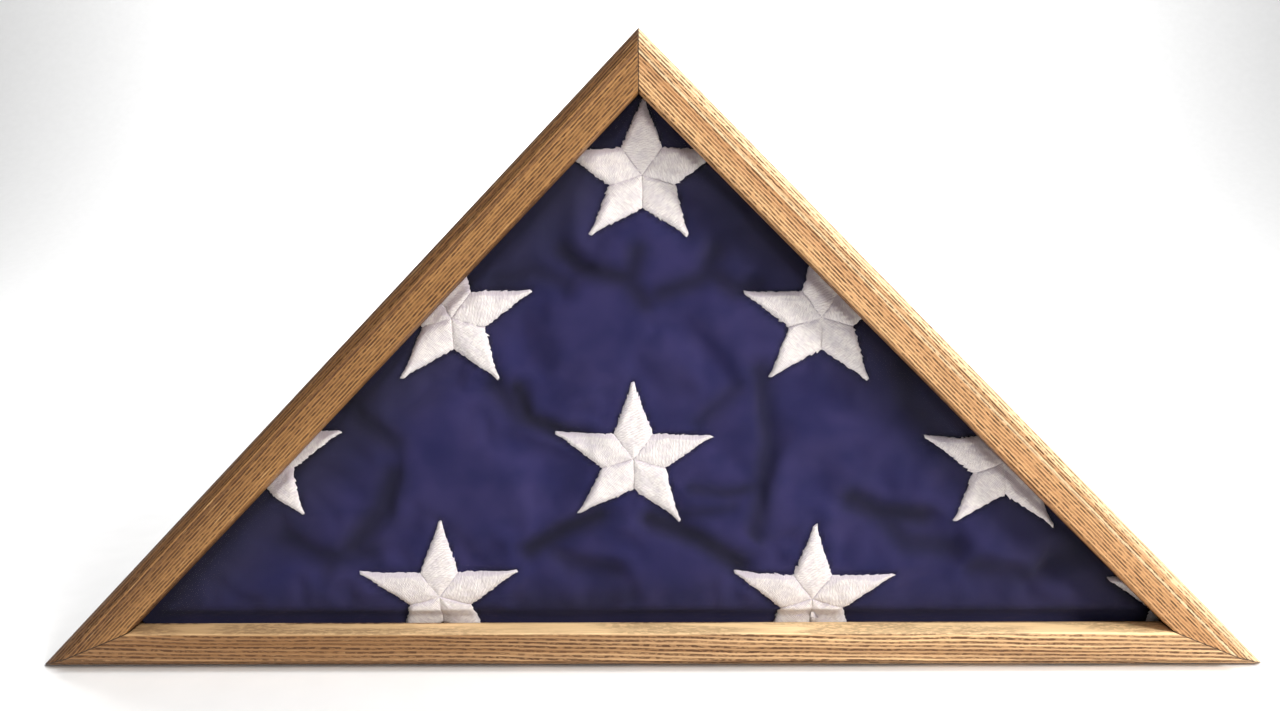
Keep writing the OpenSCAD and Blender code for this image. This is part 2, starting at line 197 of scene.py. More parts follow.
class Finish:
    """A node material, built by adding nodes."""

    def __init__(self, name):
        self.material = bpy.data.materials.new(name)
        self.material.use_nodes = True
        self.tree = self.material.node_tree
        self.tree.nodes.clear()

    def node(self, kind, settings=None, sockets=None, output=0):
        made = self.tree.nodes.new(kind)
        for name, value in (settings or {}).items():
            setattr(made, name, value)
        for name, value in (sockets or {}).items():
            if isinstance(value, Wire):
                self.tree.links.new(value.socket, made.inputs[name])
            else:
                made.inputs[name].default_value = value
        return Wire(self, made.outputs[output]) if made.outputs else made

    def place(self, scale=(1, 1, 1), turn=0.0, shift=(0, 0, 0)):
        """Object coordinates, turned about Y by degrees, then moved and scaled."""
        where = self.node("ShaderNodeTexCoord", output="Object")
        turned = self.node(
            "ShaderNodeMapping",
            {"vector_type": "POINT"},
            {"Vector": where, "Rotation": (0, math.radians(turn), 0), "Location": shift},
        )
        return self.node("ShaderNodeMapping", None, {"Vector": turned, "Scale": scale})

    def facing(self):
        """Which way the surface points, in the piece's own frame, so it turns with the piece."""
        return self.node("ShaderNodeTexCoord", output="Normal")

    def noise(self, where, scale=1.0, detail=2.0, rough=0.5):
        sockets = {"Vector": where, "Scale": scale, "Detail": detail, "Roughness": rough}
        return self.node("ShaderNodeTexNoise", None, sockets)

    def split(self, vector):
        made = self.node("ShaderNodeSeparateXYZ", None, {0: vector})
        return [Wire(self, s) for s in made.socket.node.outputs]

    def join(self, x, y, z):
        return self.node("ShaderNodeCombineXYZ", None, {0: x, 1: y, 2: z})

    def mix(self, amount, first, second):
        settings = {"data_type": "RGBA", "clamp_factor": True}
        return self.node("ShaderNodeMix", settings, {0: amount, 6: first, 7: second}, 2)

    def bump(self, height, distance, strength=1.0):
        sockets = {"Height": height, "Distance": distance, "Strength": strength}
        return self.node("ShaderNodeBump", None, sockets)

    def surface(self, **sockets):
        """Adds the shader and the output, and gives back the finished material."""
        named = {key.replace("_", " ").title().replace("Ior", "IOR"): v for key, v in sockets.items()}
        shader = self.node("ShaderNodeBsdfPrincipled", None, named)
        self.node("ShaderNodeOutputMaterial", None, {"Surface": shader})
        return self.material


def rgb(red, green, blue):
    """A colour as a screen shows it, 0 to 255, turned into light."""
    def light(v):
        v = v / 255
        return v / 12.92 if v < 0.04045 else ((v + 0.055) / 1.055) ** 2.4
    return (light(red), light(green), light(blue), 1)


def dress(finish, *names):
    """Gives CAD nodes a finish."""
    for name in names:
        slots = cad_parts[name].data.materials
        slots.clear()
        slots.append(finish)


# %% Floor finish
paper = Finish("pale_paper")
grey = paper.noise(paper.place(), 40, 3)
floor.data.materials.append(
    paper.surface(
        base_color=paper.mix(grey, rgb(240, 240, 240), rgb(247, 247, 247)),
        roughness=0.9,
    )
)

# %% [markdown]
# ## Oak
# Oak is ring porous: each year starts with a row of open pores, which a saw cuts into short
# dark dashes along the grain, and ends in smooth dense wood. A ring is a tube round the
# tree's pith, so the distance from a pith line, placed somewhere beside the board, gives the
# year: the rows are straight where the rings run into the face, and spread into long arches
# where the face runs along them. An image would repeat and would not meet at the corners, so
# the whole board is one solid pattern. Each board has its own pith, so that the grain turns
# at every mitre as it does in a real frame.

# %% Oak finish
def oak(name, turn, pith, rise, light, dark, ring=1.5, wander=1.5, painted_shade_along=(0, 1, 0), painted_slope_strength=0.0,
        painted_top_light=0.0, painted_slope_colour=rgb(88, 54, 28), gloss=0.42, mitres=True):
    """Oak sawn along a direction, turn degrees from +X.

    pith is how far across and behind the tree's middle lies, rise how fast the board cuts
    through the rings, ring the millimetres between years, painted_shade_along where along the
    board painted shade darkens it and how much, painted_slope_strength how strongly the
    moulding's outer steps are painted with painted_slope_colour, a painted shade or a painted
    highlight, with a painted highlight line on the shelf, and painted_top_light how strongly
    the ledge is painted with a painted highlight.
    """
    wood = Finish(name)
    along, deep, across = wood.split(wood.place(turn=turn))
    slow = wood.noise(wood.place((7, 40, 40), turn), 1, 2)
    waver = wood.noise(wood.place((45, 200, 200), turn), 1, 2)
    rings = ((across - pith[0]) ** 2 + (deep - pith[1]) ** 2) ** 0.5
    rings = rings + along * rise + (slow - 0.5) * (wander * mm) + (waver - 0.5) * (0.7 * mm)
    year = rings / (ring * mm)
    row = ((year.math("FRACT") - 0.5).math("ABSOLUTE") * 2).step(0.2, 0.7)
    which = (year + 0.5).math("FLOOR")
    seed = wood.join(along * 260, which * 3.7 + deep * 700, across * 700)
    dashes = wood.noise(seed, 1, 2, 0.6).step(0.38, 0.58)
    strength = wood.noise(wood.join(along * 9, which * 1.9, 0), 1, 2).step(0.3, 0.62)
    pores = row * (dashes * 0.75 + 0.25) * (strength * 0.45 + 0.55)
    fibre = wood.noise(wood.place((45, 2600, 2600), turn), 1, 3, 0.7)
    bands = wood.noise(wood.place((3, 190, 190), turn, (0, 0.5, 0)), 1, 2)
    flecks = wood.noise(wood.place((60, 260, 1500), turn, (0.1, 0, 0)), 1, 1).step(0.66, 0.74)
    base = wood.mix(bands.step(0.3, 0.7) * 0.7 + row * 0.3, light, dark)
    # painted shade: the board is painted darker towards one end
    base = wood.mix(along.step(painted_shade_along[0], painted_shade_along[1]) * painted_shade_along[2], base, dark)
    # painted light and shade on the moulding's outer slope: painted shade where it faces away from the lamp,
    # a painted highlight on the right rail, and a painted highlight line on the shelf
    if painted_slope_strength:
        inset = across if not turn else across + half_width / math.sqrt(2)
        slope = inset.step(9.8 * mm, 9.5 * mm)
        shelf = inset.step(5.2 * mm, 5.7 * mm) * inset.step(8.4 * mm, 7.8 * mm)
        base = wood.mix(slope * (1 - shelf * 0.8) * painted_slope_strength, base, painted_slope_colour)
        base = wood.mix(shelf * inset.step(6.2 * mm, 6.7 * mm) * painted_slope_strength * 0.45, base, light)
    # painted highlight: faces that point up, the bottom rail's ledge, are painted paler and with fainter
    # pores, most towards the right
    if painted_top_light:
        top_light_mask = wood.split(wood.facing())[2].step(0.4, 0.9)
        pores = pores * (1 - top_light_mask * 0.5)
        base = wood.mix(top_light_mask * (along.step(-0.35, 0.1) * 0.6 + 0.4) * painted_top_light, base, rgb(255, 220, 168))
    base = wood.mix(flecks * 0.25, base, rgb(240, 205, 150))
    base = wood.mix(fibre.step(0.45, 0.66) * 0.3, base, rgb(120, 78, 40))
    base = wood.mix(pores * 0.92, base, rgb(78, 46, 22))
    height = 0.5 - pores * 0.8 + fibre * 0.3
    if mitres:
        lean = math.radians(22.5)
        x, y, z = wood.split(wood.place())
        joint = (z * math.cos(lean) + (x.math("ABSOLUTE") - half_width) * math.sin(lean)).math("ABSOLUTE")
        joint = joint.step(0.4 * mm, 0.12 * mm)
        if turn:
            joint = joint.math("MAXIMUM", x.math("ABSOLUTE").step(0.4 * mm, 0.12 * mm))
        base = wood.mix(joint * 0.8, base, rgb(44, 26, 12))
        height = height - joint
    return wood.surface(
        base_color=base,
        roughness=pores * 0.25 + fibre * 0.15 + gloss,
        normal=wood.bump(height, 0.45 * mm),
        specular_ior_level=0.4,
    )


# %% Oak on the rails and boards
# the rails are one oak, painted as lit and shaded copies: the left rail darker, in painted shade, the right
# rail and the bottom rail paler, as painted light from the lamp at the right
cream, tan = rgb(226, 178, 124), rgb(180, 126, 76)
honey, brown = rgb(226, 182, 130), rgb(190, 140, 88)
raw, raw_dark = rgb(222, 188, 144), rgb(190, 150, 104)
right_oak = oak("oak_right_rail", 135, (-0.5, -0.06), 0.003, cream, tan,
                painted_shade_along=(0.2, -0.22, 0.5), painted_slope_strength=0.6, painted_slope_colour=rgb(255, 226, 182))
left_oak = oak("oak_left_rail", 225, (-0.5, -0.04), -0.006, rgb(174, 126, 72), rgb(124, 84, 42),
               wander=1.2, painted_slope_strength=0.6)
bottom_oak = oak("oak_bottom_rail", 0, (-0.2, -0.045), 0.016, rgb(250, 204, 150), rgb(138, 96, 54),
                 ring=2.2, wander=6, painted_shade_along=(0.2, -0.2, 0.85), painted_slope_strength=0.2, painted_top_light=0.9)
dress(right_oak, "frame_right_rail")
dress(left_oak, "frame_left_rail")
dress(bottom_oak, "frame_bottom_rail")
dress(oak("oak_right_board", 135, (-0.3, 0.02), 0.02, honey, brown, 1.8, 4), "side_board_right")
dress(oak("oak_left_board", 225, (-0.29, -0.01), 0.02, honey, brown, 1.8, 4), "side_board_left")
dress(oak("oak_bottom_board", 0, (-0.06, 0.01), 0.015, honey, brown, 1.8, 4), "bottom_board")
dress(oak("raw_oak_right", 135, (-0.5, 0.1), 0.01, raw, raw_dark, gloss=0.6),
      "glazing_bead_right", "door_stop_right")
dress(oak("raw_oak_left", 225, (-0.5, 0.1), 0.01, raw, raw_dark, gloss=0.6),
      "glazing_bead_left", "door_stop_left")
dress(oak("raw_oak_flat", 0, (0.5, 0.1), 0.01, raw, raw_dark, gloss=0.6, mitres=False),
      "glazing_bead_bottom", "apex_block", "corner_block_left", "corner_block_right")
print("oak on", sum("oak" in m.name for m in bpy.data.materials), "kinds of board")

# %% [markdown]
# ## Plywood door
# The door is oak-faced plywood. The face is one wide sheet peeled or sliced from the log, so it
# shows tall nested arches, and the sawn edge shows the layers. The edge is told from the face by
# which way the surface points, and its stripes follow the depth.

# %% Plywood finish
def plywood():
    wood = Finish("oak_plywood")
    along, deep, across = wood.split(wood.place(turn=90))
    slow = wood.noise(wood.place((3, 3, 9), 90), 1, 3)
    bow = (across * 0.9 + (slow - 0.5) * 0.05) ** 2
    year = (bow / 0.0022 + along * 9 + slow * 5).math("FRACT")
    dashes = wood.noise(wood.place((150, 1150, 1150), 90), 1, 2, 0.6)
    pores = dashes.step(0.48, 0.64) * (year.step(0.55, 0.0) * 0.9 + 0.12)
    fibre = wood.noise(wood.place((30, 1800, 1800), 90), 1, 2, 0.7)
    face = wood.mix(year.step(0.3, 1.0) * 0.5 + (fibre - 0.5) * 0.4, rgb(224, 184, 132), rgb(188, 140, 88))
    face = wood.mix(pores * 0.7, face, rgb(104, 68, 36))
    plies = (deep * 500 + fibre * 0.1).math("FRACT").step(0.45, 0.55)
    edge = wood.mix(plies * 0.8 + (dashes - 0.5) * 0.3, rgb(206, 170, 124), rgb(140, 98, 60))
    facing = wood.split(wood.facing())[1].math("ABSOLUTE")
    return wood.surface(
        base_color=wood.mix(facing.step(0.4, 0.6), edge, face),
        roughness=pores * 0.2 + fibre * 0.1 + 0.42,
        normal=wood.bump(fibre * 0.2 - pores * 0.8, 0.25 * mm),
    )


dress(plywood(), "back_panel")

# %% [markdown]
# ## Metal, rubber and plastic
# The hinges and the knob are lacquered brass with a brushed grain, the screws and plates are
# zinc-plated steel, which is mottled, and the bumpers are matt moulded rubber. Each is one
# small function, because a real finish is a colour, a fine texture and how it scatters light.

# %% Small finishes
def metal(name, bright, dull, rough, brush=(90, 3000, 3000)):
    plate = Finish(name)
    grain = plate.noise(plate.place(brush), 1, 2, 0.6)
    tarnish = plate.noise(plate.place(), 110, 4)
    return plate.surface(
        base_color=plate.mix(tarnish.step(0.4, 0.75) * 0.7 + grain * 0.2, bright, dull),
        metallic=1.0,
        roughness=grain * 0.12 + tarnish * 0.15 + rough,
        normal=plate.bump(grain, 0.004 * mm),
    )


def moulded(name, colour, worn, rough, grain):
    part = Finish(name)
    skin = part.noise(part.place(), grain, 3)
    dust = part.noise(part.place(), 90, 3).step(0.5, 0.75)
    return part.surface(
        base_color=part.mix(dust * 0.35, colour, worn),
        roughness=skin * 0.2 + rough,
        normal=part.bump(skin, 0.05 * mm),
    )


brass = metal("brass", rgb(222, 184, 112), rgb(178, 138, 76), 0.24)
zinc = metal("zinc_steel", rgb(200, 201, 200), rgb(160, 163, 166), 0.3, (500, 500, 500))
dress(brass, "hinge_case_leaf_left", "hinge_case_leaf_right", "hinge_door_leaf_left",
      "hinge_door_leaf_right", "door_knob", "hinge_case_screws", "hinge_door_screws")
dress(zinc, "hinge_pin_left", "hinge_pin_right", "catch_screws", "strike_plate", "strike_screws",
      "knob_screw", "hanger_plate", "hanger_screws", "bumper_screws")
dress(moulded("white_plastic", rgb(232, 230, 222), rgb(205, 200, 188), 0.4, 3000), "catch_housing")
dress(moulded("ferrite", rgb(52, 50, 50), rgb(84, 80, 78), 0.5, 5000), "catch_magnets")
dress(moulded("black_rubber", rgb(34, 34, 35), rgb(78, 76, 74), 0.6, 2500), "wall_bumpers")

# %% [markdown]
# ## Glass
# The pane is thin, clean float glass. A true glass shader would bend light through it and make
# the shadows on the cloth noisy, so the pane is a nearly clear film: it lets the light and the
# shadows through, and only its sheen and a trace of dust show that it is there.

# %% Glass finish
def clear_glass():
    pane = Finish("clear_glass")
    dust = pane.noise(pane.place(), 30, 4).step(0.5, 0.8)
    specks = pane.noise(pane.place(), 1400, 1).step(0.74, 0.8)
    pane.material.surface_render_method = "BLENDED"
    return pane.surface(
        base_color=pane.mix(specks, rgb(8, 14, 11), rgb(50, 52, 52)),
        roughness=dust * 0.08 + 0.03,
        alpha=dust * 0.006 + specks * 0.01 + 0.02,
        specular_ior_level=0.5,
    )


dress(clear_glass(), "glass_pane")
print(len(bpy.data.materials), "finishes so far")

# %% [markdown]
# ## Where the stars are
# The blue field has rows of stars, each row set half a step sideways from the last. On the
# front of the bundle nine of them show, some cut by the moulding. They are sewn and folded by
# hand, so no two are quite alike: each has a centre and five small nudges, one for every
# point, clockwise from the top. The cloth is gathered a little, which squashes them in height.

# %% Star places
star_radius = 44.5
star_inner = 0.405 * star_radius
star_squash = 0.94
star_height = 1.4 * mm
star_reach = 75 * mm
front_stars = [
    ((1, 260), [(1, -3), (-2, -1), (-3, 3), (-1, 4), (1, 0)]),
    ((-99, 188), [(0, 1), (0, 1), (-3, 1), (-2, 2), (0, 0)]),
    ((93, 187), [(0, 1), (0, 0), (-1, 0), (0, 2), (2, 0)]),
    ((-206, 112), [(0, 0), (3, 3), (-4, 4), (0, 0), (0, 0)]),
    ((-5, 112), [(0, 0), (-1, -1), (-2, -1), (-4, 3), (0, 1)]),
    ((192, 108), [(0, 0), (0, 0), (1, -1), (0, 2), (-1, 2)]),
    ((-112, 35), [(2, 2), (1, 2), (0, 0), (0, 0), (-1, 1)]),
    ((91, 33), [(1, 1), (2, 1), (0, 0), (0, 0), (0, 2)]),
    ((293, 30), [(0, 0), (0, 0), (0, 0), (0, 0), (0, 0)]),
]
back_stars = [
    ((-20, 215), [(1, 0), (0, 1), (-1, 0), (0, 2), (0, 0)]),
    ((-118, 140), [(0, 1), (1, 0), (0, -1), (-1, 0), (0, 1)]),
    ((78, 142), [(-1, 0), (0, 2), (1, 0), (0, 0), (-1, 0)]),
    ((-20, 66), [(0, 0), (1, 1), (0, 0), (-2, 1), (0, 1)]),
    ((172, 68), [(1, 0), (0, 0), (0, 1), (0, -1), (1, 0)]),
    ((-214, 66), [(0, 1), (0, 0), (1, 0), (0, 0), (-1, 1)]),
]


def star_outline(centre, nudges):
    """The ten corners of a star on the cloth, in metres: a point, then the inner corner after it."""
    corners = []
    for arm, nudge in enumerate(nudges):
        for half, radius in ((0, star_radius), (1, star_inner)):
            around = (arm + half / 2) * math.tau / 5
            x, z = radius * math.sin(around), radius * math.cos(around) * star_squash
            push = nudge if not half else (0, 0)
            corners.append(Vector((centre[0] + x + push[0], centre[1] + z + push[1])) * mm)
    return corners


def edge_distance(point, start, end):
    """How far a point lies from the line between two others."""
    line = end - start
    share = max(0, min(1, (point - start).dot(line) / line.length_squared))
    return (point - start - line * share).length


def star_distance(point, corners):
    """How far a point lies outside a star's edge, negative inside."""
    ends = corners[1:] + corners[:1]
    gap = min(edge_distance(point, a, b) for a, b in zip(corners, ends))
    crossings = 0
    for a, b in zip(corners, ends):
        if (a.y > point.y) != (b.y > point.y):
            crossings += point.x < a.x + (point.y - a.y) * (b.x - a.x) / (b.y - a.y)
    return -gap if crossings % 2 else gap


def nearest_star(x, z, outlines):
    """The distance to the nearest star's edge; stars out of reach count as far away.

    Three of a star's points, added up, are three times a place near its middle.
    """
    here = Vector((x, z))
    near = [c for c in outlines if (c[0] + c[4] + c[6] - here * 3).length < 3 * star_reach]
    return min((star_distance(here, corners) for corners in near), default=1)


front_outlines = [star_outline(*star) for star in front_stars]
back_outlines = [star_outline(*star) for star in back_stars]
print(len(front_outlines), "stars in front,", len(back_outlines), "behind")

# %% [markdown]
# ## The folded bundle
# Folded, the flag is a thick soft triangle. Its rim is a roll of folded cloth, so it turns away
# from the glass near the moulding and falls into shadow. The bundle starts as three corners and
# is extruded to its thickness. Its corners and its front and back rims are beveled round. A
# remesh gives it even cloth to work on.

# %% Rough shape of the bundle
bundle_gap = 15.5 * mm
nearest_y = glass_rear_y + 0.8 * mm
cloth_front_y = glass_rear_y + 2.8 * mm
cloth_back_y = flag_high.y
corner_round = 7 * mm
front_round = 17 * mm
back_round = 14 * mm
cloth_grid = 5 * mm


def corner_points(inset):
    """The three corners of the case's outline moved in by a distance."""
    low = half_width - inset * (1 + math.sqrt(2))
    return [(-low, inset), (low, inset), (0, apex_height - inset * math.sqrt(2))]


def rough_bundle():
    shape = bmesh.new()
    corners = [shape.verts.new((x, cloth_front_y, z)) for x, z in corner_points(bundle_gap)]
    front = shape.faces.new(corners)
    pushed = bmesh.ops.extrude_face_region(shape, geom=[front])["geom"]
    depth = cloth_back_y - cloth_front_y
    far_side = [v for v in pushed if isinstance(v, bmesh.types.BMVert)]
    bmesh.ops.translate(shape, vec=(0, depth, 0), verts=far_side)
    sides = [e for e in shape.edges if abs(e.verts[0].co.y - e.verts[1].co.y) > depth / 2]
    how = {"profile": 0.5, "affect": "EDGES", "material": -1}
    bmesh.ops.bevel(shape, geom=sides, offset=corner_round, segments=5, **how)
    for y, reach in ((cloth_front_y, front_round), (cloth_back_y, back_round)):
        rim = [e for e in shape.edges if all(abs(v.co.y - y) < 1e-6 for v in e.verts)]
        rim = [e for e in rim if len(e.link_faces) == 2]
        rim = [e for e in rim if any(abs(f.normal.y) < 0.5 for f in e.link_faces)]
        bmesh.ops.bevel(shape, geom=rim, offset=reach, segments=6, **how)
    bmesh.ops.recalc_face_normals(shape, faces=shape.faces)
    return new_object("folded_flag_cloth", shape)


def apply_modifiers(piece):
    """Bakes a piece's modifiers into its mesh."""
    bpy.context.view_layer.update()
    graph = bpy.context.evaluated_depsgraph_get()
    mesh = bpy.data.meshes.new_from_object(piece.evaluated_get(graph))
    piece.modifiers.clear()
    piece.data = mesh


def remesh(piece, size):
    step = piece.modifiers.new("remesh", "REMESH")
    step.mode = "VOXEL"
    step.voxel_size = size
    apply_modifiers(piece)


bundle = rough_bundle()
remesh(bundle, cloth_grid)
print("bundle:", len(bundle.data.vertices), "points")

# %% [markdown]
# ## Creases and slack
# Two things shape the face of the bundle. The folds underneath press soft dents and creases
# through the top layer, which are pushed in here along a few lines. And the embroidery doesn't
# give, while the thin cloth between the stars has some slack: a cloth simulation lets it grow
# by a few hundredths with the stars and the rim held still, and it buckles into small folds.
# Pushing points along the listed lines alone would leave the cloth smooth between the lines.

# %% Creases
creases = [
    ([(-66, 150), (-60, 134), (-44, 127), (-30, 122)], 5, 3.6),
    ([(-78, 152), (-70, 142), (-64, 136)], 7, 2.6),
    ([(4, 78), (30, 68), (52, 52)], 6, 3.6),
    ([(-24, 80), (-42, 72), (-62, 60)], 6, 3.2),
    ([(62, 158), (66, 120), (61, 80), (57, 60)], 6, 2.4),
    ([(26, 96), (44, 93), (62, 96)], 4, 2.4),
    ([(10, 80), (26, 82), (48, 86)], 4, 1.8),
    ([(30, 132), (40, 142), (50, 150)], 5, 1.8),
    ([(112, 88), (128, 80), (150, 78)], 7, 3.0),
    ([(128, 80), (142, 64), (166, 60)], 8, 2.4),
    ([(-40, 222), (-32, 214), (-8, 208)], 6, 3.0),
    ([(-2, 222), (-6, 206), (2, 196)], 6, 2.6),
    ([(38, 222), (32, 208), (10, 200)], 6, 2.6),
    ([(34, 212), (48, 202), (60, 204)], 6, 2.6),
    ([(-74, 206), (-56, 212), (-40, 206)], 6, 2.0),
    ([(-134, 104), (-142, 84), (-160, 62)], 8, 2.8),
    ([(-196, 66), (-176, 56), (-150, 60)], 8, 2.2),
    ([(-160, 150), (-150, 134), (-134, 122)], 7, 2.4),
    ([(-56, 64), (-40, 52), (-16, 50)], 6, 2.0),
    ([(136, 160), (142, 140), (156, 124)], 7, 2.4),
    ([(180, 50), (206, 46), (232, 58)], 8, 2.2),
    ([(-66, 30), (-40, 28), (-10, 34)], 7, 1.6),
]


crease_reach = 60


def crease_depth(x, z):
    """How deep the folds underneath pull the cloth in here, in millimetres."""
    here = Vector((x, z)) / mm
    total = 0
    for points, width, depth in creases:
        if abs(points[1][0] - here.x) + abs(points[1][1] - here.y) > crease_reach:
            continue
        steps = [Vector(p) for p in points]
        near = min(edge_distance(here, a, b) for a, b in zip(steps, steps[1:]))
        total = max(total, depth * math.exp(-((near / width) ** 2)))
    return total


def swell(x, z, seed, size):
    """Smooth rise and fall, between -1 and 1, of a given size."""
    return noise.noise(Vector((x / size + seed, 0.5, z / size + seed * 2)))


def past_flap(x, z):
    """How far a place on the back lies past the slanting edge of the tucked-in end, in millimetres."""
    return (x / mm + 40) * 0.5 - (z / mm - 120)


def flap_step(x, z):
    """The tucked-in end lies on top of the back, up to its edge: 1 off it, 0 on it."""
    return 1 / (1 + math.exp(past_flap(x, z) / 1.6))


front_dents = 2.2
back_dents = 4
flap_thickness = 3
turned_away = 0.35


def sculpt(piece):
    """Presses dents and creases into the two faces, which leaves the rims as they are."""
    normals = [v.normal.copy() for v in piece.data.vertices]
    for v, normal in zip(piece.data.vertices, normals):
        x, y, z = v.co
        flat = max(0, abs(normal.y) - turned_away) / (1 - turned_away)
        if normal.y < 0:
            wide = 0.4 + 0.6 * swell(x, z, 3.1, 60 * mm) + 0.4 * swell(x, z, 8.4, 26 * mm)
            v.co.y = y + (front_dents * max(0, wide) + crease_depth(x, z)) * mm * flat
        else:
            wide = 0.5 + 0.5 * swell(x, z, 5.7, 60 * mm) + 0.4 * swell(x, z, 1.4, 26 * mm)
            v.co.y = y - (back_dents * max(0, wide) + flap_thickness * flap_step(x, z)) * mm * flat


sculpt(bundle)
print(len(creases), "creases pressed in")

# %% Slack
held_reach = 5 * mm
still_rim = 24 * mm
rim_fade = 14 * mm


def how_held(v):
    """1 where the cloth can't move, at the rim and on the stars, fading to 0 between them."""
    inset = min(v.co.z, (apex_height - v.co.z - abs(v.co.x)) / math.sqrt(2))
    rim = 1 if abs(v.normal.y) < 0.8 else min(1, max(0, 1 - (inset - still_rim) / rim_fade))
    outlines = front_outlines if v.normal.y < 0 else back_outlines
    near = nearest_star(v.co.x, v.co.z, outlines)
    return max(rim, min(1, max(0, 1 - near / held_reach)))


def slacken(piece, frames, growth, reach):
    """Lets the cloth grow between the stars, then keeps every point within reach of where it was."""
    held = piece.vertex_groups.new(name="held")
    for v in piece.data.vertices:
        held.add([v.index], how_held(v), "REPLACE")
    start = [v.co.copy() for v in piece.data.vertices]
    step = piece.modifiers.new("slack", "CLOTH")
    step.settings.quality = 6
    step.settings.mass = 0.15
    step.settings.tension_stiffness = 12
    step.settings.compression_stiffness = 12
    step.settings.shear_stiffness = 6
    step.settings.bending_stiffness = 0.25
    step.settings.use_pressure = True
    step.settings.uniform_pressure_force = 1.5
    step.settings.shrink_min = -growth
    step.settings.shrink_max = -growth
    step.settings.vertex_group_mass = "held"
    step.settings.effector_weights.gravity = 0
    step.collision_settings.use_collision = False
    step.collision_settings.use_self_collision = False
    for number in range(1, frames + 1):
        bpy.context.scene.frame_set(number)
    apply_modifiers(piece)
    bpy.context.scene.frame_set(1)
    furthest = 0
    for v, place in zip(piece.data.vertices, start):
        move = v.co - place
        furthest = max(furthest, move.length)
        v.co = place + move * min(1, reach / max(move.length, 1e-9))
        v.co.y = max(v.co.y, nearest_y)
    piece.vertex_groups.clear()
    return furthest


print("furthest move, mm:", round(slacken(bundle, 20, 0.05, 4 * mm) / mm, 2))

# %% [markdown]
# ## Room for the moulding
# The beads that hold the glass reach in over the rim of the cloth. The cloth, made finer, is
# pushed back wherever it would touch a bead, with room for a star's thickness, and may come
# close to the glass only further in. It also stays clear of the rail below.

# %% Room for the moulding
bead_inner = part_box("glazing_bead_bottom")[1].z
bead_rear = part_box("glazing_bead_bottom")[1].y
star_room = 2.5 * mm
ease = 10 * mm


def foremost(x, z):
    """How far forward the cloth may come: behind the beads round the rim, near the glass inside it."""
    inset = min(z, (apex_height - z - abs(x)) / math.sqrt(2))
    past = min(1, max(0, (inset - bead_inner - 1 * mm) / ease))
    back = bead_rear + star_room - nearest_y
    return nearest_y + back * (1 - past * past * (3 - 2 * past))


fine = bundle.modifiers.new("smooth", "SUBSURF")
fine.levels = fine.render_levels = 1
apply_modifiers(bundle)
for v in bundle.data.vertices:
    v.co.y = max(v.co.y, foremost(v.co.x, v.co.z))
    v.co.z = max(v.co.z, bundle_gap)
print("front of the cloth at the rim, mm:", round(foremost(0, bundle_gap) / mm, 1))

# %% [markdown]
# ## Sewing marks
# Stitching gathers the cloth, so it rises in a narrow band round each star, and the thread line
# is painted dark, which also stands in for the shadow at the star's edge. Two numbers at every
# point carry this to the finish: `sewn` is how near the thread line is, and `shade` is painted
# shade, on the front how deep the crease and on the back how near the edge of the tucked-in end.

# %% Sewing marks
gather_width = 2.2 * mm
gather_height = 0.7 * mm
thread_line = 1.2 * mm
darkest_crease = 3.2
sewn = bundle.data.attributes.new("sewn", "FLOAT", "POINT")
shade = bundle.data.attributes.new("shade", "FLOAT", "POINT")
in_front = [v.normal.y < 0 for v in bundle.data.vertices]
for v, front in zip(bundle.data.vertices, in_front):
    near = nearest_star(v.co.x, v.co.z, front_outlines if front else back_outlines)
    side = 1 if front else -1
    v.co.y += side * math.exp(-((near / gather_width) ** 2)) * gather_height
    sewn.data[v.index].value = math.exp(-((near / thread_line) ** 2))
    # painted shade: on the front from the crease depth, on the back along the edge of the tucked-in end
    if front:
        shade.data[v.index].value = min(1, crease_depth(v.co.x, v.co.z) / darkest_crease)
    else:
        shade.data[v.index].value = math.exp(-((past_flap(v.co.x, v.co.z) / 3) ** 2))
for face in bundle.data.polygons:
    face.use_smooth = True
print("sculpted:", len(bundle.data.vertices), "points")

# %% [markdown]
# ## Navy cotton
# Flag cotton is a plain weave, a thread over and a thread under, so its colour and bump are the
# product of two sets of waves. Old dye is uneven and lint catches the light. The thread line round
# each star is dark, partly painted shadow at the star's edge. The creases, the edge of the tucked-in
# end, and the rim near the apex and along the bottom are painted darker: painted shade where the
# folds and the moulding shade the cloth.

